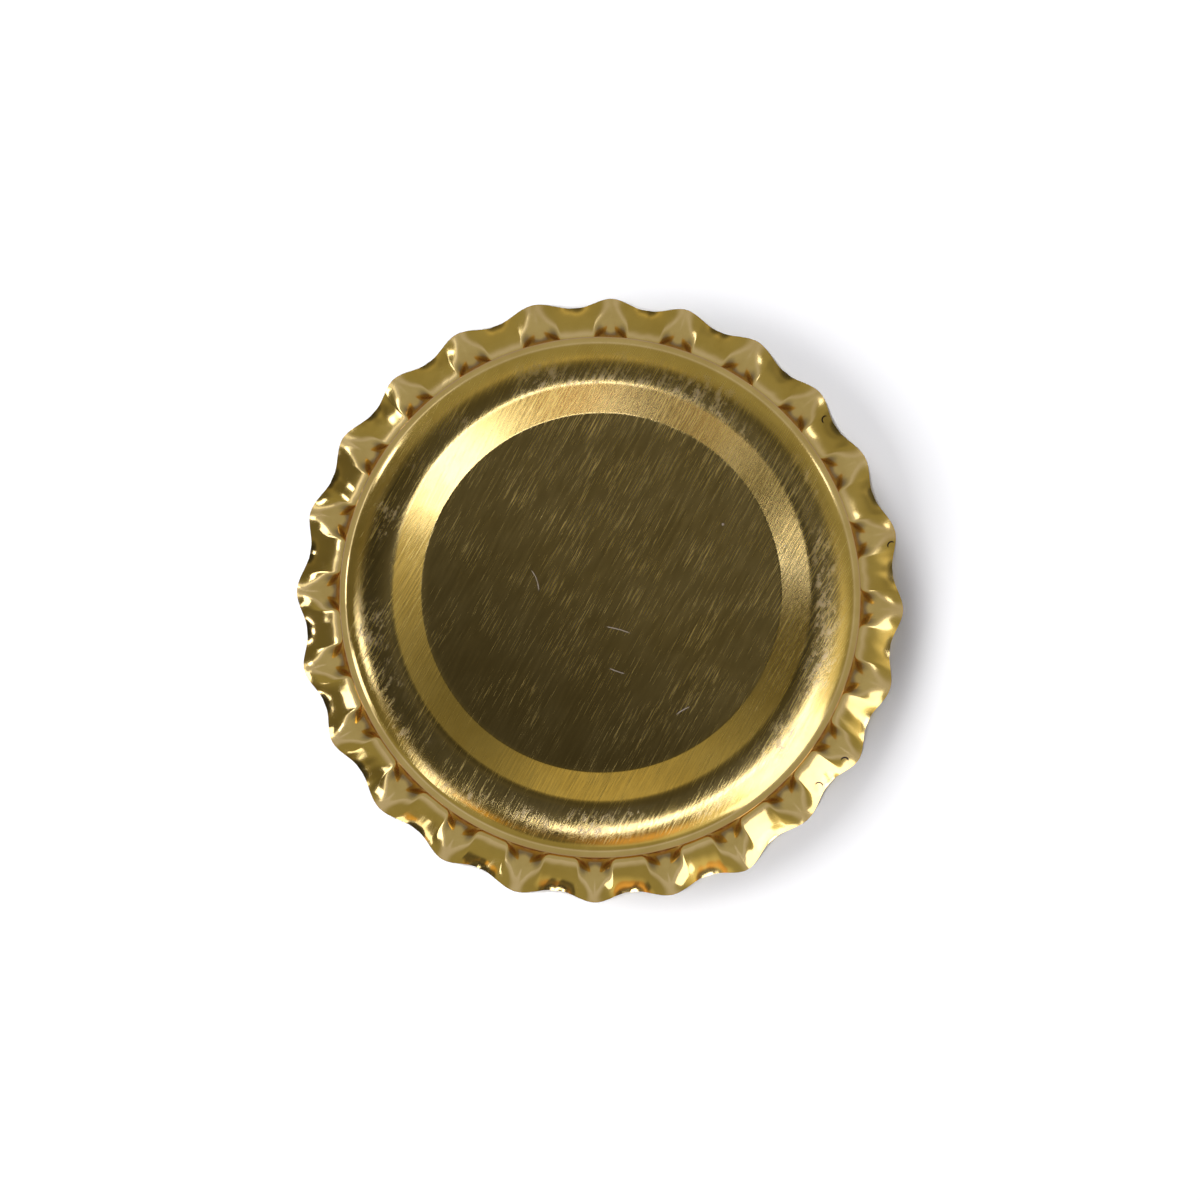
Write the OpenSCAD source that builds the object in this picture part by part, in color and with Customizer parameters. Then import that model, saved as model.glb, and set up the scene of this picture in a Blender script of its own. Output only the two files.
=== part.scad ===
// Crown cap for a 26 mm bottle mouth, as it leaves the press and before it is crimped.
// A stamped shell of lacquered tinplate holds a moulded sealing liner.
// The origin is on the plane of the skirt's edge, on the cap's axis, and the panel faces +Z.

/* [Cap] */
// Overall height, from the skirt's edge to the top of the rim
cap_h = 6; // [5:0.1:7.2]
// Inside diameter of the wall that slips over the bottle's mouth
mouth_d = 26.75; // [22.3:0.05:32.1]
// Thickness of the tinplate
sheet_t = 0.24; // [0.2:0.01:0.3]

/* [Panel] */
// Outer radius of the shoulder that turns down into the wall
shoulder_bend = 1.05; // [0.9:0.05:1.2]
// Radius of the rim's crown, which falls away from the flat towards the shoulder
crown_bend = 3.8; // [3.4:0.1:4.2]
// Slope at which the crown hands over to the shoulder, in degrees
crown_slope = 25; // [20:1:28]
// Width of the flat between the recess and the crown
rim_w = 0.1; // [0.05:0.05:0.3]
// Depth of the recess pressed into the panel
recess_depth = 0.6; // [0.45:0.05:0.75]
// Slope of the wall of the recess, in degrees
recess_slope = 21; // [17:1:26]
// Upper bend of the recess, from the rim to the slope
recess_upper_bend = 1.5; // [1.2:0.1:1.8]
// Lower bend of the recess, from the slope to the disc
recess_lower_bend = 0.3; // [0.25:0.05:0.4]

/* [Skirt] */
// Number of flutes
flutes = 24; // [18:1:30]
// How far the tips of the teeth stand out from the wall
tooth_reach = 2.435; // [2.03:0.005:2.95]
// How far the edge is let in between the teeth
flute_depth = 0.5; // [0.4:0.05:0.65]
// Height of the plain wall between the shoulder and the teeth
neck_h = 0.7; // [0.6:0.05:0.85]
// Share of a tooth's reach in which it bends away from the wall
tooth_bend_share = 0.5; // [0.4:0.05:0.6]
// Radius in which the foot of the wall turns out into a flute's hollow
foot_bend = 1.2; // [1:0.1:1.5]
// Slope at which the foot's bend hands over to the hollow's lip, in degrees
foot_slope = 45; // [40:1:50]
// Slope of the lip at the edge, in degrees
lip_slope = 10; // [5:1:15]
// Share of a flute's pitch that its hollow takes at its head
hollow_share = 0.38; // [0.34:0.01:0.42]
// How much more of the pitch the hollow takes at the edge
hollow_flare = 0.12; // [0.08:0.01:0.16]

/* [Liner] */
// Thickness of the liner's film under the recess
film_t = 0.15; // [0.12:0.01:0.2]
// Width of the thick sealing ring
seal_w = 2.9; // [2.4:0.1:3.4]
// Depth of the groove between the two lips of the sealing ring
groove_depth = 0.3; // [0.2:0.05:0.4]
// Width of the groove between the two lips
groove_w = 0.9; // [0.6:0.1:1.2]
// Gap between the liner and the bends of the shell
liner_gap = 0.03; // [0.02:0.01:0.06]

/* [Fineness] */
// Facets along each flute's pitch
flute_steps = 10; // [8:2:12]
// Facets down the wall of a hollow
wall_steps = 2; // [1:1:3]
// Facets around the foot of a hollow
foot_steps = 3; // [2:1:4]
// Facets along the lip of a hollow
lip_steps = 4; // [2:1:5]

/* [Hidden] */
$fn = 180;

// Radii and heights of the shell's parts, from the axis and from the skirt's edge
mouth_r = mouth_d / 2;
wall_r = mouth_r + sheet_t;
crown_normal = [sin(crown_slope), cos(crown_slope)];
shoulder_r = wall_r - shoulder_bend;
crown_r = shoulder_r - (crown_bend - shoulder_bend) * sin(crown_slope);
crown_centre = [crown_r, cap_h - crown_bend];
shoulder_centre = crown_centre + (crown_bend - shoulder_bend) * crown_normal;
shoulder_z = shoulder_centre.y;
neck_z = shoulder_z - neck_h;
recess_r = crown_r - rim_w;
disc_z = cap_h - recess_depth;

// The recess: the wall's run follows from its depth, its slope and its two bends
bends_drop = (recess_upper_bend + recess_lower_bend) * (1 - cos(recess_slope));
bends_run = (recess_upper_bend + recess_lower_bend) * sin(recess_slope);
slope_length = (recess_depth - bends_drop) / sin(recess_slope);
disc_r = recess_r - bends_run - slope_length * cos(recess_slope);
upper_centre = [recess_r, cap_h - recess_upper_bend];
lower_centre = [disc_r, disc_z + recess_lower_bend];
slope_normal = [-sin(recess_slope), cos(recess_slope)];
slope_top = upper_centre + recess_upper_bend * slope_normal;
slope_foot = lower_centre - recess_lower_bend * slope_normal;

// The skirt laps into the wall and lies a hair inside both its faces, so that they fuse. The
// wall's foot laps a little over the first of the skirt's bends.
lap = 0.2;
foot_lap = 0.04;
tuck = 0.005;
skirt_r = wall_r - tuck;
skirt_t = sheet_t - 2 * tuck;
flute_pitch = 360 / flutes;
columns = flutes * flute_steps;

// A tooth bends away from the wall, then runs straight to its tip at this slope
tooth_run = tooth_reach + tuck;
rise = neck_z / tooth_run;
spread = 1 - tooth_bend_share * tooth_bend_share;
half_turn = atan((1 + tooth_bend_share) / (rise + sqrt(rise * rise + spread)));
tooth_slope = 90 - 2 * half_turn;
tooth_bend = tooth_bend_share * tooth_run / (1 - sin(tooth_slope));
tooth_centre = [skirt_r + tooth_bend, neck_z];
tooth_tip = [skirt_r + tooth_run, 0];

// The lip's bend follows from how far the hollow reaches, and its underside rests on the plane
lip_run = tooth_run - flute_depth;
lip_bend = (lip_run - foot_bend * (1 - sin(foot_slope))) / (sin(foot_slope) - sin(lip_slope));
lip_edge = [skirt_r + lip_run, skirt_t * cos(lip_slope)];
lip_centre = lip_edge + lip_bend * [sin(lip_slope), cos(lip_slope)];
foot_centre = lip_centre - (lip_bend - foot_bend) * [sin(foot_slope), cos(foot_slope)];

// Share of the pitch over which the side of a hollow rises at its head. Further down it
// becomes a flank that rises all the way to the ridge of the tooth.
side_share = 0.12;
flank_down = 0.6;

// How straight the flanks are where they meet in the ridge: 1 is straight, 0 is rounded
ridge = 0.8;

// How far the floor of a hollow is dished at the edge, as a share of a tooth's rise
dish = 0.12;

// How far the inner skin's flanks stand back from the outer skin's, in thicknesses of the
// sheet: further at the head, where a flank is steep, than at the edge
side_set = 0.7;
flank_set = 0.3;

// Share of the pitch over which the wave of the edge rises from a flute to a tooth
wave_share = 0.46;

// A tooth's section has as many facets as a flute's
sweep_steps = wall_steps + foot_steps + 1;
run_steps = lip_steps - 1;

// How much closer the columns of facets stand on the sides of the hollows than elsewhere
gather = 0.35;

// The liner's floor, the two bends of its rim, which meet at hand_r, and its groove's middle
liner_z = disc_z - sheet_t - film_t;
liner_crown = crown_bend - sheet_t - liner_gap;
liner_bend = shoulder_bend - sheet_t - liner_gap;
hand_r = crown_r + liner_crown * sin(crown_slope);
groove_r = shoulder_r + liner_bend - seal_w / 2;

// Longer than any radius of the cap
far = 2 * mouth_d;

function mix(a, b, t) = a + (b - a) * t;
function clamp(t) = min(max(t, 0), 1);
function ease(t) = clamp(t) * clamp(t) * (3 - 2 * clamp(t));

// Point of a bend that lies below and inside its centre, where it has this slope
function on_bend(centre, radius, slope) = centre - radius * [sin(slope), cos(slope)];

// Section through the middle of a flute: down the wall, round its foot and out along the
// lip. A skin that lies deeper in the sheet by inset has the same centres and wider bends.
function flute_section(inset) = concat(
    [for (i = [0:wall_steps - 1])
        [skirt_r - inset, mix(neck_z, foot_centre.y, i / wall_steps)]],
    [for (i = [0:foot_steps - 1])
        on_bend(foot_centre, foot_bend + inset, mix(90, foot_slope, i / foot_steps))],
    [for (i = [0:lip_steps])
        on_bend(lip_centre, lip_bend + inset, mix(foot_slope, lip_slope, i / lip_steps))]
);

// Section through the tip of a tooth, with as many points
function tooth_section(inset) =
    let (
        sweep = [for (i = [0:sweep_steps])
            on_bend(tooth_centre, tooth_bend + inset, mix(90, tooth_slope, i / sweep_steps))],
        tip = tooth_tip - [inset / sin(tooth_slope), 0]
    )
    concat(sweep, [for (i = [1:run_steps]) mix(sweep[sweep_steps], tip, i / run_steps)]);

// Share of the tooth's section at a place: across is the distance from the flute's middle
// as a share of the pitch, and down runs from 0 at the wall to 1 at the edge. The hollow's
// floor is dished, its side is crisp, and the tooth's flanks meet in a ridge that eases
// into a wave at the edge.
function tooth_weight(across, down, inset) =
    let (
        turned_down = ease(down / flank_down),
        half = (hollow_share + hollow_flare * down) / 2,
        set_back = inset * mix(side_set, flank_set, down) / (2 * PI * wall_r / flutes),
        side = half + set_back,
        short = 1 - clamp((across - side) / mix(side_share, 0.5 - half, turned_down)),
        fall = mix(short * short, short, ridge * turned_down),
        floor = dish * down * pow(clamp(across / side), 2),
        steep = floor + (1 - dish * down) * (1 - fall),
        wave = ease((across - 0.5) / wave_share + 1)
    )
    mix(steep, wave, pow(down, 4));

// Place of a column of facets, in pitches: a whole number is the middle of a flute
function column_phase(i) =
    let (turn = i / flute_steps)
    turn + gather * sin(720 * turn) / (4 * PI);

// A point of a section, turned to its column. A tooth points along +X.
function turned(p, i) =
    let (azimuth = (column_phase(i) - 0.5) * flute_pitch)
    [p.x * cos(azimuth), p.x * sin(azimuth), p.y];

// One ring of the skirt: the two sections mixed around the cap
function skirt_ring(flute_point, tooth_point, down, inset) =
    [for (i = [0:columns - 1])
        let (
            across = abs(column_phase(i) - round(column_phase(i))),
            weight = tooth_weight(across, down, inset)
        )
        turned(mix(flute_point, tooth_point, weight), i)];

function skirt_top(r) = [for (i = [0:columns - 1]) turned([r, neck_z + lap], i)];

function skirt_skin(inset) =
    let (
        flute = flute_section(inset),
        tooth = tooth_section(inset),
        last = len(flute) - 1
    )
    [for (k = [0:last]) skirt_ring(flute[k], tooth[k], k / last, inset)];

function reversed(list) = [for (i = [len(list) - 1:-1:0]) list[i]];

// The fluted skirt: its outer skin, its edge and its inner skin as one closed band
module skirt() {
    outer = concat([skirt_top(skirt_r)], skirt_skin(0));
    inner = concat([skirt_top(skirt_r - skirt_t)], skirt_skin(skirt_t));
    rings = concat(outer, reversed(inner));
    points = [for (ring = rings) each ring];
    faces = [for (k = [0:len(rings) - 1], i = [0:columns - 1])
        let (
            next_k = (k + 1) % len(rings),
            next_i = (i + 1) % columns,
            a = k * columns + i,
            b = k * columns + next_i,
            c = next_k * columns + next_i,
            d = next_k * columns + i,
            rising = i % flute_steps < flute_steps / 2
        )
        each rising ? [[a, b, c], [a, c, d]] : [[a, b, d], [b, c, d]]];
    polyhedron(points = points, faces = faces, convexity = 10);
}

// Part of a ring in the section plane, between two angles less than 180 degrees apart
module bend(centre, outer, inner, from, to) {
    translate(centre) intersection() {
        difference() {
            circle(r = outer);
            circle(r = inner);
        }
        polygon([[0, 0], far * [cos(from), sin(from)], far * [cos(to), sin(to)]]);
    }
}

// Section of the panel, the shoulder and the plain wall
module panel_section() {
    lower_bend = recess_lower_bend + sheet_t;
    upper_bend = recess_upper_bend - sheet_t;
    translate([0, disc_z - sheet_t]) square([disc_r, sheet_t]);
    bend(lower_centre, lower_bend, recess_lower_bend, -90, -90 + recess_slope);
    polygon([slope_top, slope_foot, slope_foot - sheet_t * slope_normal,
        slope_top - sheet_t * slope_normal]);
    bend(upper_centre, recess_upper_bend, upper_bend, 90, 90 + recess_slope);
    translate([recess_r, cap_h - sheet_t]) square([rim_w, sheet_t]);
    bend(crown_centre, crown_bend, crown_bend - sheet_t, 90 - crown_slope, 90);
    bend(shoulder_centre, shoulder_bend, shoulder_bend - sheet_t, 0, 90 - crown_slope);
    translate([mouth_r, neck_z - foot_lap]) square([sheet_t, neck_h + foot_lap]);
}

module shell() {
    color("goldenrod") {
        rotate_extrude() panel_section();
        skirt();
    }
}

// Section of the liner: it seats on the flats of the panel's underside, clears the bends,
// and has a flat floor with a groove between two sealing lips
module liner_section() {
    seat_z = cap_h - sheet_t;
    clear = (sheet_t + liner_gap) * slope_normal;
    difference() {
        union() {
            polygon([[0, liner_z], [crown_r, liner_z], [crown_r, seat_z],
                [recess_r, seat_z], slope_top - clear, slope_foot - clear,
                [disc_r, disc_z - sheet_t - liner_gap], [disc_r, disc_z - sheet_t],
                [0, disc_z - sheet_t]]);
            intersection() {
                translate([crown_r, liner_z]) square([hand_r - crown_r, seat_z - liner_z]);
                translate(crown_centre) circle(r = liner_crown);
            }
            intersection() {
                translate([shoulder_r, liner_z]) square([shoulder_bend, seat_z - liner_z]);
                translate(shoulder_centre) circle(r = liner_bend);
            }
        }
        translate([groove_r - groove_w / 2, liner_z]) square([groove_w, groove_depth]);
    }
}

module liner() {
    color("gainsboro") rotate_extrude() liner_section();
}

shell();
liner();
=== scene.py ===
"""Gold-lacquered crown cap lying on its skirt, seen from above in soft light.

The shell is remade here as a fine mesh with the form of the CAD shell, so that the flutes
reflect smoothly. The liner is the CAD body itself with a plastic material.
"""

import math

import bpy
import numpy as np
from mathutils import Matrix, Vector


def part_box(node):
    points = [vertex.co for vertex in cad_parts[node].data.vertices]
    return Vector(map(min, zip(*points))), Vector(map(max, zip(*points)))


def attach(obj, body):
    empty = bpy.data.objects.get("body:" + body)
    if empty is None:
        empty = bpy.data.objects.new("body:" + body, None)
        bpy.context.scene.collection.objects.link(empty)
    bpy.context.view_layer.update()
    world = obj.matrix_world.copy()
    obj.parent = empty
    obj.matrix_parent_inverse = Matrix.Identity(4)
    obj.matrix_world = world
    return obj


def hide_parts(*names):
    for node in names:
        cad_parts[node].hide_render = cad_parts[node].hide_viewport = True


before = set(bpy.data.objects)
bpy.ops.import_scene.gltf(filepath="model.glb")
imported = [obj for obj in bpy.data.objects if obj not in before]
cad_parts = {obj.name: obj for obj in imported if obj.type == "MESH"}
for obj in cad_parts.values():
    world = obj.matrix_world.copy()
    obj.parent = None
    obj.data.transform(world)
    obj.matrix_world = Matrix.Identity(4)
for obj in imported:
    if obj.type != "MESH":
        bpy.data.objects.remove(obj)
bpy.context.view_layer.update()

MM = 0.001

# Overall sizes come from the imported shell
SHELL_LOW, SHELL_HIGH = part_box("shell")
CAP_H = SHELL_HIGH.z - SHELL_LOW.z
TIP_R = SHELL_HIGH.x

# Sheet, panel and recess
SHEET_T = 0.24 * MM
TOOTH_REACH = 2.435 * MM
WALL_R = TIP_R - TOOTH_REACH
CROWN_BEND = 3.8 * MM
CROWN_TURN = math.radians(25)
SHOULDER_BEND = 1.05 * MM
RIM_SPAN = 2.3 * MM
RECESS_DEPTH = 0.6 * MM
RECESS_SLOPE = math.radians(19.5)
UPPER_BEND = 1.5 * MM
LOWER_BEND = 0.3 * MM
# How far the recess lies off the cap's centre
RECESS_OFF = (0.08 * MM, 0.22 * MM)

# Skirt. A hollow's and a side's widths are shares of the pitch from one flute to the next;
# DOWN values are shares of the way from the neck to the edge
FLUTES = 24
FLUTE_DEPTH = 0.5 * MM
NECK_Z = 4.0 * MM
HOLLOW_BEND = 0.85 * MM
HOLLOW_TURN = math.radians(45)
LIP_SLOPE = math.radians(10)
TOOTH_BEND_SHARE = 0.5
HOLLOW_SHARE = 0.27
HOLLOW_FLARE = 0.22
FLARE_DOWN = 0.6
SIDE_SHARE = 0.12
FLANK_DOWN = 0.75
CREST_ROUND = 0.05
DISH = 0.12
WAVE_SHARE = 0.46
SIDE_SET = 0.7
FLANK_SET = 0.3

# Derived places: the rim falls away along its crown before the shoulder turns down
RECESS_R = WALL_R - RIM_SPAN
SHOULDER_R = WALL_R - SHOULDER_BEND
CROWN_END = SHOULDER_R + SHOULDER_BEND * math.sin(CROWN_TURN)
CROWN_R = CROWN_END - CROWN_BEND * math.sin(CROWN_TURN)
SHOULDER_Z = CAP_H - (CROWN_BEND - SHOULDER_BEND) * (1 - math.cos(CROWN_TURN)) - SHOULDER_BEND
DISC_Z = CAP_H - RECESS_DEPTH
BENDS = UPPER_BEND + LOWER_BEND
SLOPE_LENGTH = (RECESS_DEPTH - BENDS * (1 - math.cos(RECESS_SLOPE))) / math.sin(RECESS_SLOPE)
DISC_R = RECESS_R - BENDS * math.sin(RECESS_SLOPE) - SLOPE_LENGTH * math.cos(RECESS_SLOPE)

# Mesh columns of one flute and of the whole cap
STEPS = 40
COLUMNS = FLUTES * STEPS
RNG = np.random.default_rng(7)


def ease(t):
    t = np.clip(t, 0, 1)
    return t * t * (3 - 2 * t)


def mix(a, b, t):
    return a + (b - a) * t


def direction(azimuth, polar):
    """Unit vector at an azimuth from +X and an angle from the vertical, in degrees."""
    a, p = math.radians(azimuth), math.radians(polar)
    return Vector((math.sin(p) * math.cos(a), math.sin(p) * math.sin(a), math.cos(p)))


def arc(centre, radius, start, end, steps):
    """Points of an arc in the section plane; angles run from +Z towards +R."""
    angles = np.linspace(start, end, steps + 1)
    return np.stack([centre[0] + radius * np.sin(angles), centre[1] + radius * np.cos(angles)], 1)


# ---------------------------------------------------------------- shell sections

# The hollow of a flute sweeps out from the wall to its lip in two bends
LIP = (WALL_R + TOOTH_REACH - FLUTE_DEPTH, SHEET_T * math.cos(LIP_SLOPE))
LIP_BEND = (LIP[0] - WALL_R - HOLLOW_BEND * (1 - math.sin(HOLLOW_TURN))) / (
    math.sin(HOLLOW_TURN) - math.sin(LIP_SLOPE))
LIP_CENTRE = (LIP[0] + LIP_BEND * math.sin(LIP_SLOPE), LIP[1] + LIP_BEND * math.cos(LIP_SLOPE))
HOLLOW_CENTRE = (
    LIP_CENTRE[0] + (HOLLOW_BEND - LIP_BEND) * math.sin(HOLLOW_TURN),
    LIP_CENTRE[1] + (HOLLOW_BEND - LIP_BEND) * math.cos(HOLLOW_TURN),
)

# A tooth sweeps out from the wall and runs straight to its tip
RISE = NECK_Z / TOOTH_REACH
SPREAD = 1 - TOOTH_BEND_SHARE ** 2
TOOTH_TURN = 2 * math.atan((1 + TOOTH_BEND_SHARE) / (RISE + math.sqrt(RISE ** 2 + SPREAD)))
TOOTH_BEND = TOOTH_BEND_SHARE * TOOTH_REACH / (1 - math.cos(TOOTH_TURN))
TOOTH_CENTRE = (WALL_R + TOOTH_BEND, NECK_Z)
TOOTH_TIP = (WALL_R + TOOTH_REACH, 0.0)

# Stages down a section: the hollow's wall, its bend and its lip; the tooth's bend and run
WALL_END, BEND_END, STAGES = 2, 5, 9
SWEEP_END = 6


def on_circle(centre, radius, tilt):
    """Point below and inside a centre, where the surface has this tilt."""
    return np.array([centre[0] - radius * math.sin(tilt), centre[1] - radius * math.cos(tilt)])


def flute_section(u, inset):
    """Point of the section through a flute's middle, at stage u from the neck."""
    if u < WALL_END:
        return np.array([WALL_R - inset, mix(NECK_Z, HOLLOW_CENTRE[1], u / WALL_END)])
    if u < BEND_END:
        tilt = mix(math.pi / 2, HOLLOW_TURN, (u - WALL_END) / (BEND_END - WALL_END))
        return on_circle(HOLLOW_CENTRE, HOLLOW_BEND + inset, tilt)
    tilt = mix(HOLLOW_TURN, LIP_SLOPE, (u - BEND_END) / (STAGES - BEND_END))
    return on_circle(LIP_CENTRE, LIP_BEND + inset, tilt)


def tooth_section(u, inset):
    """Point of the section through a tooth's tip, at stage u from the neck."""
    turn = TOOTH_TURN * min(u / SWEEP_END, 1)
    point = on_circle(TOOTH_CENTRE, TOOTH_BEND + inset, math.pi / 2 - turn)
    if u <= SWEEP_END:
        return point
    edge = np.array([TOOTH_TIP[0] - inset / math.cos(TOOTH_TURN), 0.0])
    return mix(point, edge, (u - SWEEP_END) / (STAGES - SWEEP_END))


def hollow_half(down):
    """Half the width of a hollow's floor, in pitches."""
    return (HOLLOW_SHARE + HOLLOW_FLARE * ease(down / FLARE_DOWN)) / 2


def tooth_weight(across, down, inset):
    """Share of the tooth's section; across is the distance from the flute's middle. The
    hollow's floor is dished, its side is crisp, and the tooth's flanks meet in a ridge."""
    turned_down = ease(down / FLANK_DOWN)
    half = hollow_half(down)
    set_back = inset * mix(SIDE_SET, FLANK_SET, down) / (2 * np.pi * WALL_R / FLUTES)
    side = half + set_back
    short = 1 - np.clip((across - side) / mix(SIDE_SHARE, 0.5 - half, turned_down), 0, 1)
    sharp = np.sqrt(short ** 2 + CREST_ROUND ** 2) - CREST_ROUND
    fall = mix(short ** 2, sharp, turned_down)
    floor = DISH * down * np.minimum(across / side, 1) ** 2
    steep = floor + (1 - DISH * down) * (1 - fall)
    wave = ease((across - 0.5) / WAVE_SHARE + 1)
    return mix(steep, wave, down ** 8)


def around(values, phase):
    """One value per flute, eased from each to the next around the cap."""
    low = np.floor(phase).astype(int)
    t = ease(phase - low)
    return mix(values[low % FLUTES], values[(low + 1) % FLUTES], t)


# Columns of the mesh, in pitches: they gather at the hollows' sides and at the ridges
GATHER = 0.4
TURN = math.radians(-1.9)
PLACE = np.arange(COLUMNS) / STEPS
PHASE = PLACE - GATHER * np.sin(8 * np.pi * PLACE) / (8 * np.pi)

# Each flute lies a little off its place, in pitches, and each tooth reaches a little more or
# less; one reaches out clearly further
WANDER = RNG.normal(0, 0.035, FLUTES)
REACH = RNG.normal(0, 0.04 * MM, FLUTES)
LONG_TOOTH, LONG_REACH = 20, 0.15 * MM
REACH[LONG_TOOTH] += LONG_REACH
AZIMUTH = TURN + (PHASE - 0.5 - around(WANDER, PHASE)) * 2 * np.pi / FLUTES

# Waves around the skirt: how many, how they roll on the way down, and their start
WOBBLES = [(RNG.integers(30, 150), RNG.uniform(4, 16), RNG.uniform(0, 6)) for _ in range(9)]
WOBBLE_HEIGHT = 0.003 * MM
# Height of the pleats that run down a tooth, and how many there are to a pitch
PLEAT = 0.02 * MM
PLEATS = 9


def wobble(down):
    """Small unevenness of the drawn sheet, the same on both skins."""
    total = np.zeros(COLUMNS)
    for turns, roll, shift in WOBBLES:
        total += np.sin(turns * AZIMUTH + roll * down + shift)
    return WOBBLE_HEIGHT * down * total


# The painted shade in the pockets at a tooth's base: where their corners lie and how wide they are,
# in pitches; how far from the wall they begin and end, and over what shares of that they fade; then
# the reach and strength of the painted shade along the crease at the wall
CORNER_ACROSS = 0.33
CORNER_SPREAD = 0.09
POCKET_SIDE = 0.05
POCKET_START = 0.38 * MM
POCKET_REACH = 0.45 * MM
CORNER_REACH = 0.6 * MM
POCKET_FULL, POCKET_FADE = 0.5, 0.6
CREASE_REACH = 0.25 * MM
CREASE_SHADE = 0.6


def pocket_shade(across, down, out):
    """How strongly shade is painted into the lacquer in the pockets beside the teeth and along the
    crease at the wall; out is measured from the wall.
    """
    corner = np.exp(-((across - CORNER_ACROSS) / CORNER_SPREAD) ** 2)
    reach = POCKET_REACH + CORNER_REACH * corner
    beside = ease((across - hollow_half(down)) / POCKET_SIDE)
    painted_pocket_shade = beside * (1 - ease((out / reach - POCKET_FULL) / POCKET_FADE))
    crease = CREASE_SHADE * (1 - ease(out / CREASE_REACH))
    return np.maximum(painted_pocket_shade, crease) * ease(out / POCKET_START)


def skirt_rings(inset, steps):
    """Rings (r, z, painted shade, off) of one skin of the skirt, from the neck to the edge."""
    across = np.abs(PHASE - np.round(PHASE))
    rings = []
    for u in np.linspace(0, STAGES, steps + 1):
        down = u / STAGES
        weight = tooth_weight(across, down, inset)
        flute, tooth = flute_section(u, inset), tooth_section(u, inset)
        r = mix(flute[0], tooth[0], weight) + down ** 2 * around(REACH, PHASE - 0.5)
        pleats = np.cos(2 * PLEATS * np.pi * across) * weight * down * (1 - down)
        z = mix(flute[1], tooth[1], weight) + wobble(down) + PLEAT * pleats
        shade = pocket_shade(across, down, r - WALL_R) if inset == 0 else np.zeros(COLUMNS)
        rings.append((r, np.maximum(z, 0), shade, 0))
    return rings


def panel_rings(inset, fine):
    """Rings of one skin of the panel, from the edge of the disc to the neck. The last of a
    ring's values is how far it follows the recess off the centre."""
    centre = (DISC_R, DISC_Z + LOWER_BEND)
    recess = list(arc(centre, LOWER_BEND + inset, math.pi, math.pi - RECESS_SLOPE, 2 + fine))
    centre = (RECESS_R, CAP_H - UPPER_BEND)
    recess += list(arc(centre, UPPER_BEND - inset, -RECESS_SLOPE, 0, 2 + 2 * fine))
    centre = (CROWN_R, CAP_H - CROWN_BEND)
    crown = list(arc(centre, CROWN_BEND - inset, 0, CROWN_TURN, 4 + 2 * fine))[:-1]
    centre = (SHOULDER_R, SHOULDER_Z)
    shoulder = arc(centre, SHOULDER_BEND - inset, CROWN_TURN, math.pi / 2, 3 + 3 * fine)
    ones = np.ones(COLUMNS)
    rings = [(r * ones, z * ones, 0 * ones, 1) for r, z in recess]
    rings += [(r * ones, z * ones, 0 * ones, 1 - k / len(crown)) for k, (r, z) in enumerate(crown)]
    return rings + [(r * ones, z * ones, 0 * ones, 0) for r, z in shoulder]


def closed_skin(rings, top_z, floor_z):
    """Vertices and faces of a closed sheet: rings run from the disc's middle over the top,
    round the edge and back under to the middle."""
    cos, sin = np.cos(AZIMUTH), np.sin(AZIMUTH)
    points = np.concatenate([
        np.stack([r * cos + off * RECESS_OFF[0], r * sin + off * RECESS_OFF[1], z], 1)
        for r, z, _, off in rings])
    count = len(rings)
    points = np.concatenate([points, [[*RECESS_OFF, top_z], [*RECESS_OFF, floor_z]]])
    i = np.arange(COLUMNS)
    j = (i + 1) % COLUMNS
    faces = []
    for k in range(count - 1):
        a, b = k * COLUMNS, (k + 1) * COLUMNS
        faces += np.stack([a + i, b + i, b + j, a + j], 1).tolist()
    top, floor = count * COLUMNS, count * COLUMNS + 1
    last = (count - 1) * COLUMNS
    faces += [[top, a, b] for a, b in zip(i.tolist(), j.tolist())]
    faces += [[floor, last + b, last + a] for a, b in zip(i.tolist(), j.tolist())]
    return points, faces


def mesh_object(name, points, faces):
    mesh = bpy.data.meshes.new(name)
    mesh.from_pydata(np.asarray(points).tolist(), [], faces)
    mesh.validate()
    mesh.update()
    mesh.shade_smooth()
    mesh.set_sharp_from_angle(angle=math.radians(50))
    piece = bpy.data.objects.new(name, mesh)
    bpy.context.scene.collection.objects.link(piece)
    return piece


def make_shell():
    outer = panel_rings(inset=0, fine=2) + skirt_rings(inset=0, steps=40)
    inner = panel_rings(inset=SHEET_T, fine=0) + skirt_rings(inset=SHEET_T, steps=16)
    rings = outer + inner[::-1]
    points, faces = closed_skin(rings, DISC_Z, DISC_Z - SHEET_T)
    piece = mesh_object("stamped_shell", points, faces)
    shades = np.concatenate([shade for _, _, shade, _ in rings] + [[0, 0]])
    # Painted shade of the pockets and of the crease at the wall, one value a point, for the
    # lacquer's colour
    piece.data.attributes.new("painted_pocket_shade", "FLOAT", "POINT").data.foreach_set("value", shades)
    return piece


# ---------------------------------------------------------------- materials

def put(tree, kind, inputs, settings=None, out=0):
    """Add a node. Each input is a socket to link or a value; the result is one output."""
    node = tree.nodes.new("ShaderNode" + kind)
    for key, value in (settings or {}).items():
        setattr(node, key, value)
    for key, value in inputs.items():
        if isinstance(value, bpy.types.NodeSocket):
            tree.links.new(value, node.inputs[key])
        else:
            node.inputs[key].default_value = value
    return node.outputs[out] if len(node.outputs) else None


def calc(tree, operation, a, b=0.0):
    return put(tree, "Math", {0: a, 1: b}, {"operation": operation})


def ramp(tree, value, low, high, start=0.0, end=1.0):
    """Ease from start to end while the value runs from low to high."""
    inputs = {"Value": value, "From Min": low, "From Max": high, "To Min": start, "To Max": end}
    return put(tree, "MapRange", inputs, {"interpolation_type": "SMOOTHSTEP"})


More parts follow.
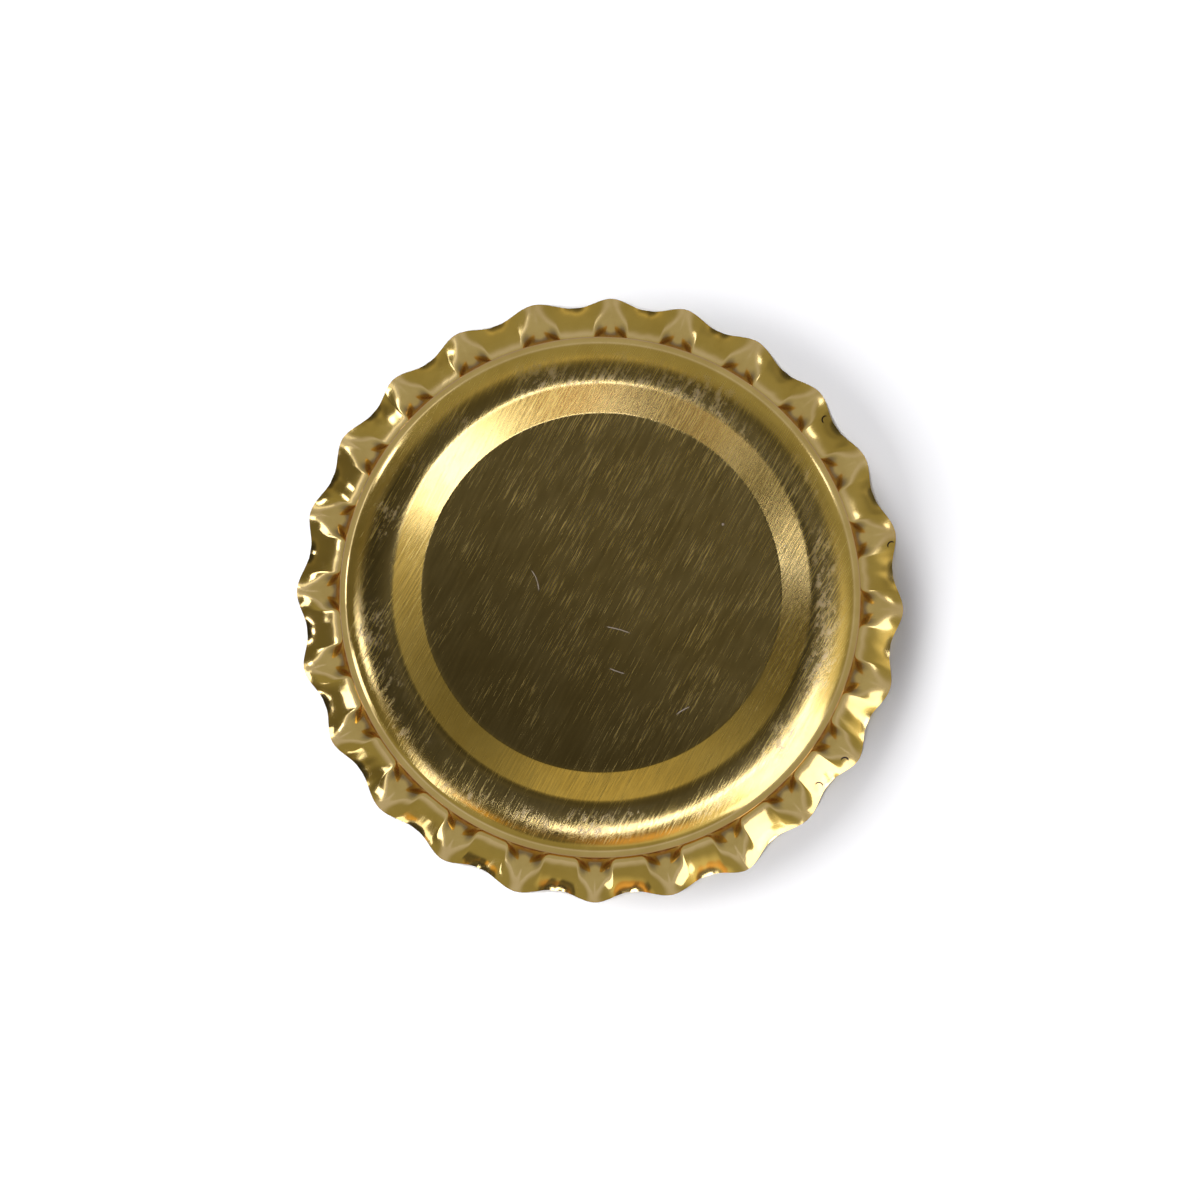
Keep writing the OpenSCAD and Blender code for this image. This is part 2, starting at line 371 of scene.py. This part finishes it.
def noise(tree, place, scale, detail=2.0, roughness=0.5):
    inputs = {"Vector": place, "Scale": scale, "Detail": detail, "Roughness": roughness}
    return put(tree, "TexNoise", inputs)


def blend(tree, factor, a, b):
    return put(tree, "Mix", {0: factor, 6: a, 7: b}, {"data_type": "RGBA"}, 2)


def turned(tree, place, degrees, scale):
    inputs = {"Vector": place, "Angle": math.radians(degrees)}
    place = put(tree, "VectorRotate", inputs, {"rotation_type": "Z_AXIS"})
    return put(tree, "VectorMath", {0: place, 1: scale}, {"operation": "MULTIPLY"})


def distance_from(tree, place, centre):
    offset = put(tree, "VectorMath", {0: place, 1: centre}, {"operation": "SUBTRACT"})
    return put(tree, "VectorMath", {0: offset}, {"operation": "LENGTH"}, 1)


def along(tree, place, facing):
    """How far a place lies from the axis towards a unit vector."""
    return put(tree, "VectorMath", {0: place, 1: facing}, {"operation": "DOT_PRODUCT"}, 1)


def arc_mark(tree, flat, centre, radius, facing, reach, width):
    """Mask of a short curved line: part of a circle around a centre, in mm, as wide as
    reach to both sides of the direction it faces."""
    away = calc(tree, "SUBTRACT", distance_from(tree, flat, centre), radius)
    line = ramp(tree, calc(tree, "ABSOLUTE", away), width / 2, width, 1.0, 0.0)
    a = math.radians(facing)
    middle = (centre[0] + radius * math.cos(a), centre[1] + radius * math.sin(a), 0)
    near = ramp(tree, distance_from(tree, flat, middle), reach * 0.6, reach, 1.0, 0.0)
    return calc(tree, "MULTIPLY", line, near)


def new_material(name):
    """A material with a Principled shader; its tree, its shader and the place in mm."""
    material = bpy.data.materials.new(name)
    material.use_nodes = True
    tree = material.node_tree
    tree.nodes.clear()
    shader = tree.nodes.new("ShaderNodeBsdfPrincipled")
    put(tree, "OutputMaterial", {0: shader.outputs[0]})
    place = put(tree, "TexCoord", {}, {}, "Object")
    place = put(tree, "VectorMath", {0: place, "Scale": 1 / MM}, {"operation": "SCALE"})
    return material, tree, shader, place


# Places on the lacquer, in mm and degrees: azimuth of the rolled grain, of the side that the disc's
# painted shade treats as lit and of the duller side; radii over which the disc, the panel and the
# worn ring fade
GRAIN = 61
DISC_LIT_SIDE = 58
DULLER_SIDE = 50
DISC_EDGE = (8.9, 9.3)
PANEL_EDGE = (12.6, 13.6)
RIM_IN, RIM_OUT = (10.9, 11.5), (12.2, 13.2)
# Hair scratches: centre and radius of the arc, the way it faces and how far it reaches
HAIRS = (((-4.9, 0.3), 1.7, 20, 0.7), ((2.6, 0.8), 5.0, 250, 0.5), ((5.5, -8.0), 2.4, 120, 0.5),
         ((-0.6, -7.5), 6.0, 75, 0.8))
HAIR_W = 0.03
# Splits near the teeth's tips: azimuth and radius of each
SPLITS = ((38.5, 15.3), (10.5, 15.7), (-33.5, 15.5), (-40.5, 15.2))
SPLIT_BEND, SPLIT_REACH, SPLIT_W = 0.22, 0.3, 0.05


def rolled_grain(tree, place):
    """Fine lines of the rolled sheet: their height, and where single lines stand out."""
    fine = noise(tree, turned(tree, place, -GRAIN, (0.45, 10.0, 0.5)), 1.0, 3.0, 0.6)
    long = noise(tree, turned(tree, place, -GRAIN, (0.6, 18.0, 0.4)), 1.0, 3.0, 0.7)
    lines = ramp(tree, long, 0.5, 0.74)
    patches = ramp(tree, noise(tree, place, 0.35, 2.0), 0.35, 0.65, 0.3, 1.0)
    on_panel = ramp(tree, distance_from(tree, place, (0, 0, 5)), *PANEL_EDGE, 1.0, 0.2)
    patches = calc(tree, "MULTIPLY", patches, on_panel)
    return calc(tree, "MULTIPLY", fine, on_panel), calc(tree, "MULTIPLY", lines, patches)


def rubbed_rim(tree, flat, place):
    """Where the rim is rubbed matt: worn patches along the highest ring of the cap."""
    away = distance_from(tree, flat, (0, 0, 0))
    ring = calc(tree, "MULTIPLY", ramp(tree, away, *RIM_IN), ramp(tree, away, *RIM_OUT, 1, 0))
    fine = noise(tree, turned(tree, place, -GRAIN, (1.6, 3.2, 2.0)), 1.0, 8.0, 0.78)
    patches = ramp(tree, noise(tree, place, 0.3, 2.0), 0.4, 0.62)
    worn = calc(tree, "MULTIPLY", ramp(tree, fine, 0.46, 0.66), patches)
    return calc(tree, "MULTIPLY", worn, ring)


def hair_scratches(tree, flat):
    """A few curved hair scratches and specks on the disc."""
    total = 0.0
    for centre, radius, facing, reach in HAIRS:
        mark = arc_mark(tree, flat, (*centre, 0), radius, facing, reach, HAIR_W)
        total = calc(tree, "MAXIMUM", mark, total)
    cells = {"Vector": flat, "Scale": 0.3}
    near = put(tree, "TexVoronoi", cells, {}, "Distance")
    chance = put(tree, "TexVoronoi", cells, {}, "Color")
    chosen = ramp(tree, put(tree, "SeparateXYZ", {0: chance}), 0.25, 0.3)
    speck = calc(tree, "MULTIPLY", ramp(tree, near, 0.02, 0.035, 1.0, 0.0), chosen)
    return calc(tree, "MAXIMUM", speck, total)


def edge_splits(tree, flat):
    """Small splits in the lacquer near the tips of a few teeth."""
    total = 0.0
    for azimuth, radius in SPLITS:
        middle = tuple(direction(azimuth, 90) * radius)
        mark = arc_mark(tree, flat, middle, SPLIT_BEND, azimuth + 120, SPLIT_REACH, SPLIT_W)
        total = calc(tree, "MAXIMUM", mark, total)
    return total


def disc_painted_shade(tree, place, flat, color):
    """Painted shade: the disc's colour darkens across it, away from the side it treats as lit."""
    shade = ramp(tree, along(tree, place, direction(DISC_LIT_SIDE, 90)), -9, 9, 0.66, 1.3)
    shade = blend(tree, shade, (0, 0, 0, 1), (1, 1, 1, 1))
    shaded = blend(tree, 1.0, color, shade)
    shaded.node.blend_type = "MULTIPLY"
    on_disc = ramp(tree, distance_from(tree, flat, (0, 0, 0)), *DISC_EDGE, 1.0, 0.0)
    return blend(tree, on_disc, color, shaded)


def lacquer_color(tree, place, flat, rubbed, hairs):
    """Gold a little uneven in tone, paler where it is rubbed or scratched, with painted shade on
    one side of the disc and in the pockets beside the teeth.
    """
    mottle = ramp(tree, noise(tree, place, 0.45, 3.0, 0.6), 0.3, 0.7)
    color = blend(tree, mottle, (0.76, 0.525, 0.095, 1), (0.86, 0.61, 0.125, 1))
    # Painted shade across the disc, darker away from its lit side
    color = disc_painted_shade(tree, place, flat, color)
    color = blend(tree, calc(tree, "MULTIPLY", rubbed, 0.6), color, (0.8, 0.64, 0.3, 1))
    # Painted shade: the lacquer turns dark brown in the pockets beside the teeth and along the
    # crease at the wall
    painted_pocket_shade = put(tree, "Attribute", {}, {"attribute_name": "painted_pocket_shade"}, "Fac")
    color = blend(tree, painted_pocket_shade, color, (0.25, 0.165, 0.045, 1))
    color = blend(tree, calc(tree, "MULTIPLY", hairs, 0.65), color, (0.9, 0.8, 0.52, 1))
    return blend(tree, edge_splits(tree, flat), color, (0.04, 0.015, 0.005, 1))


def lacquer_roughness(tree, place, fine, lines, rubbed, hairs):
    """Satin, duller along single lines and much duller where it is rubbed."""
    side = along(tree, place, direction(DULLER_SIDE, 90))
    rough = ramp(tree, side, -11, 11, 0.14, 0.22)
    rough = calc(tree, "ADD", rough, ramp(tree, fine, 0.3, 0.7, -0.04, 0.05))
    rough = calc(tree, "ADD", rough, calc(tree, "MULTIPLY", lines, 0.3))
    rough = calc(tree, "ADD", rough, calc(tree, "MULTIPLY", rubbed, 0.25))
    return calc(tree, "MAXIMUM", rough, calc(tree, "MULTIPLY", hairs, 0.45))


def lacquer_bump(tree, place, fine, lines, rubbed):
    """Grain of the rolled sheet, and grit where the rim is rubbed."""
    worn = calc(tree, "MULTIPLY", rubbed, noise(tree, place, 7.0, 3.0, 0.7))
    height = calc(tree, "ADD", fine, calc(tree, "MULTIPLY", lines, -0.3))
    height = calc(tree, "ADD", height, calc(tree, "MULTIPLY", worn, 1.2))
    return put(tree, "Bump", {"Height": height, "Strength": 1.0, "Distance": 0.0045 * MM})


def gold_lacquer():
    material, tree, shader, place = new_material("gold_lacquer")
    flat = put(tree, "VectorMath", {0: place, 1: (1, 1, 0)}, {"operation": "MULTIPLY"})
    fine, lines = rolled_grain(tree, place)
    rubbed = rubbed_rim(tree, flat, place)
    hairs = hair_scratches(tree, flat)
    color = lacquer_color(tree, place, flat, rubbed, hairs)
    tree.links.new(color, shader.inputs["Base Color"])
    rough = lacquer_roughness(tree, place, fine, lines, rubbed, hairs)
    tree.links.new(rough, shader.inputs["Roughness"])
    tree.links.new(lacquer_bump(tree, place, fine, lines, rubbed), shader.inputs["Normal"])
    shader.inputs["Metallic"].default_value = 1.0
    shader.inputs["Specular Tint"].default_value = (0.85, 0.66, 0.4, 1)
    shader.inputs["Coat Weight"].default_value = 0.35
    shader.inputs["Coat Roughness"].default_value = 0.15
    return material


def liner_plastic():
    material, tree, shader, place = new_material("liner_plastic")
    mottle = noise(tree, place, 0.8, 3.0)
    color = blend(tree, mottle, (0.74, 0.74, 0.7, 1), (0.8, 0.8, 0.77, 1))
    tree.links.new(color, shader.inputs["Base Color"])
    rough = ramp(tree, noise(tree, place, 3.0, 3.0), 0.3, 0.7, 0.35, 0.5)
    tree.links.new(rough, shader.inputs["Roughness"])
    bump = put(tree, "Bump", {"Height": noise(tree, place, 5.0, 3.0), "Distance": 0.01 * MM})
    tree.links.new(bump, shader.inputs["Normal"])
    return material


# ---------------------------------------------------------------- stage

# Colours of the cards that the metal mirrors and of the keys; how far off the lamps stand
DAYLIGHT = (1.0, 1.08, 2.3)
KEY_COLOR = (1.0, 0.93, 0.84)
LAMP_DISTANCE = 0.6


def card(name, azimuth, polar, width, height, radiance):
    """A glowing rectangle that faces the cap; width runs around it and height up, in degrees.
    It shows in the metal and adds no light to the floor."""
    lamp = bpy.data.lights.new(name, "AREA")
    lamp.shape = "RECTANGLE"
    lamp.size = 2 * LAMP_DISTANCE * math.tan(math.radians(width / 2))
    lamp.size_y = 2 * LAMP_DISTANCE * math.tan(math.radians(height / 2))
    lamp.energy = radiance * math.pi * lamp.size * lamp.size_y
    lamp.color = DAYLIGHT
    lamp_object = bpy.data.objects.new(name, lamp)
    lamp_object.location = direction(azimuth, polar) * LAMP_DISTANCE
    lamp_object.rotation_euler = (-lamp_object.location).to_track_quat("-Z", "Y").to_euler()
    lamp_object.visible_camera = False
    lamp_object.visible_diffuse = False
    bpy.context.scene.collection.objects.link(lamp_object)
    return lamp_object


def make_key(name, azimuth, polar, width, height, radiance):
    """A light that lays the cap's shadow on the floor and doesn't show in the metal."""
    key = card(name, azimuth, polar, width, height, radiance)
    key.data.color = KEY_COLOR
    key.visible_glossy = False
    key.visible_diffuse = True


# The room in the metal: height above the horizon as a cosine, level, and green and blue
# against red. The level falls towards the top, where the dark camera is.
ROOM = ((0.0, 0.55, 1.04, 2.2), (0.12, 0.5, 1.03, 2.0), (0.26, 0.31, 0.97, 0.9),
        (0.71, 0.33, 0.95, 0.85), (0.76, 0.42, 0.93, 0.82), (0.79, 0.42, 0.93, 0.82),
        (0.83, 0.12, 0.95, 0.9), (0.9, 0.05, 1.0, 1.2), (1.0, 0.034, 1.0, 1.3))
# Darker and brighter patches of it: azimuth, angle from the vertical, spread and tint
PATCHES = ((257, 39, 9, (0.25, 0.24, 0.24)), (278, 39, 9, (0.95, 0.62, 0.36)),
           (178, 50, 30, (0.45, 0.43, 0.4)), (239, 40, 5, (2.0, 1.35, 0.6)),
           (35, 32, 20, (0.6, 0.6, 0.6)), (92, 22, 18, (1.8, 1.7, 1.5)),
           (317, 30, 32, (2.2, 2.2, 2.4)))


def make_world():
    world = bpy.data.worlds.new("studio")
    bpy.context.scene.world = world
    world.use_nodes = True
    tree = world.node_tree
    tree.nodes.clear()
    toward = put(tree, "TexCoord", {}, {}, "Generated")
    sky = put(tree, "ValToRGB", {0: put(tree, "SeparateXYZ", {0: toward}, {}, "Z")})
    elements = sky.node.color_ramp.elements
    for height, *_ in ROOM[1:-1]:
        elements.new(height)
    for element, (_, level, green, blue) in zip(elements, ROOM):
        element.color = (level, level * green, level * blue, 1)
    for azimuth, polar, spread, tint in PATCHES:
        near = along(tree, toward, direction(azimuth, polar))
        outer, inner = math.radians(spread * 1.3), math.radians(spread * 0.6)
        patch = ramp(tree, near, math.cos(outer), math.cos(inner))
        patch = blend(tree, patch, (1, 1, 1, 1), (*tint, 1))
        sky = put(tree, "VectorMath", {0: sky, 1: patch}, {"operation": "MULTIPLY"})
    seen = put(tree, "LightPath", {}, {}, "Is Camera Ray")
    color = blend(tree, seen, sky, (1, 1, 1, 1))
    put(tree, "OutputWorld", {0: put(tree, "Background", {0: color})})


# The floor's tone for the camera, at which it shows white where nothing shades it
FLOOR_TONE = (0.93, 1.0, 1.12, 1)
# How bright the floor shows in the metal, and its tint there
FLOOR_GLOW = 0.42
FLOOR_TINT = (1.0, 1.03, 1.55, 1)
FLOOR_HALF = 0.6


def make_floor():
    corners = [(x * FLOOR_HALF, y * FLOOR_HALF, 0) for x, y in ((-1, -1), (1, -1), (1, 1), (-1, 1))]
    floor = mesh_object("floor", corners, [[0, 1, 2, 3]])
    material = bpy.data.materials.new("floor_white")
    material.use_nodes = True
    tree = material.node_tree
    tree.nodes.clear()
    camera_sees = put(tree, "LightPath", {}, {}, "Is Camera Ray")
    tone = blend(tree, camera_sees, (0.88, 0.88, 0.88, 1), FLOOR_TONE)
    paper = put(tree, "BsdfDiffuse", {0: tone})
    glow = put(tree, "Emission", {"Color": FLOOR_TINT, "Strength": FLOOR_GLOW})
    metal_sees = put(tree, "LightPath", {}, {}, "Is Glossy Ray")
    above = put(tree, "MixShader", {0: metal_sees, 1: paper, 2: glow})
    below = put(tree, "NewGeometry", {}, {}, "Backfacing")
    clear = put(tree, "BsdfTransparent", {})
    put(tree, "OutputMaterial", {0: put(tree, "MixShader", {0: below, 1: above, 2: clear})})
    floor.data.materials.append(material)


CAMERA_DISTANCE = 0.35
CAMERA_TILT = 1.9
FRAME_W = 63.5 * MM
SENSOR_W = 36.0


def make_camera():
    camera = bpy.data.cameras.new("camera")
    camera.sensor_width = SENSOR_W
    camera.lens = SENSOR_W * CAMERA_DISTANCE / FRAME_W
    camera_object = bpy.data.objects.new("camera", camera)
    bpy.context.scene.collection.objects.link(camera_object)
    camera_object.location = direction(-90, CAMERA_TILT) * CAMERA_DISTANCE
    camera_object.rotation_euler = (math.radians(CAMERA_TILT), 0, 0)
    bpy.context.scene.camera = camera_object


# ---------------------------------------------------------------- build

# Lamps: name, azimuth, angle from the vertical, width and height in degrees, and radiance
KEYS = (("key", 147, 40, 18, 16, 24.0), ("second", 206, 44, 24, 18, 14.5))
CARDS = (("window", 319, 63, 28, 36, 1.9), ("window_top", 321, 36, 18, 18, 2.3),
         ("key_spot", 189, 38, 9, 5, 4.5), ("strip_top", 300, 22, 36, 5, 5.0),
         ("strip_left", 197, 74, 12, 18, 2.6), ("strip_front", 226, 46, 6, 22, 1.8),
         ("low_left", 166, 82, 84, 5, 0.8), ("streak_left", 174, 83, 10, 6, 3.0),
         ("streak_top", 146, 69, 7, 15, 4.5), ("low_right", 30, 78, 8, 8, 3.0))

make_world()
make_floor()
make_camera()
for key in KEYS:
    make_key(*key)
for glowing in CARDS:
    card(*glowing)

shell = make_shell()
shell.data.materials.append(gold_lacquer())
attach(shell, "root")
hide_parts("shell")

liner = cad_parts["liner"]
liner.data.materials.clear()
liner.data.materials.append(liner_plastic())

bpy.context.scene.view_settings.view_transform = "Standard"
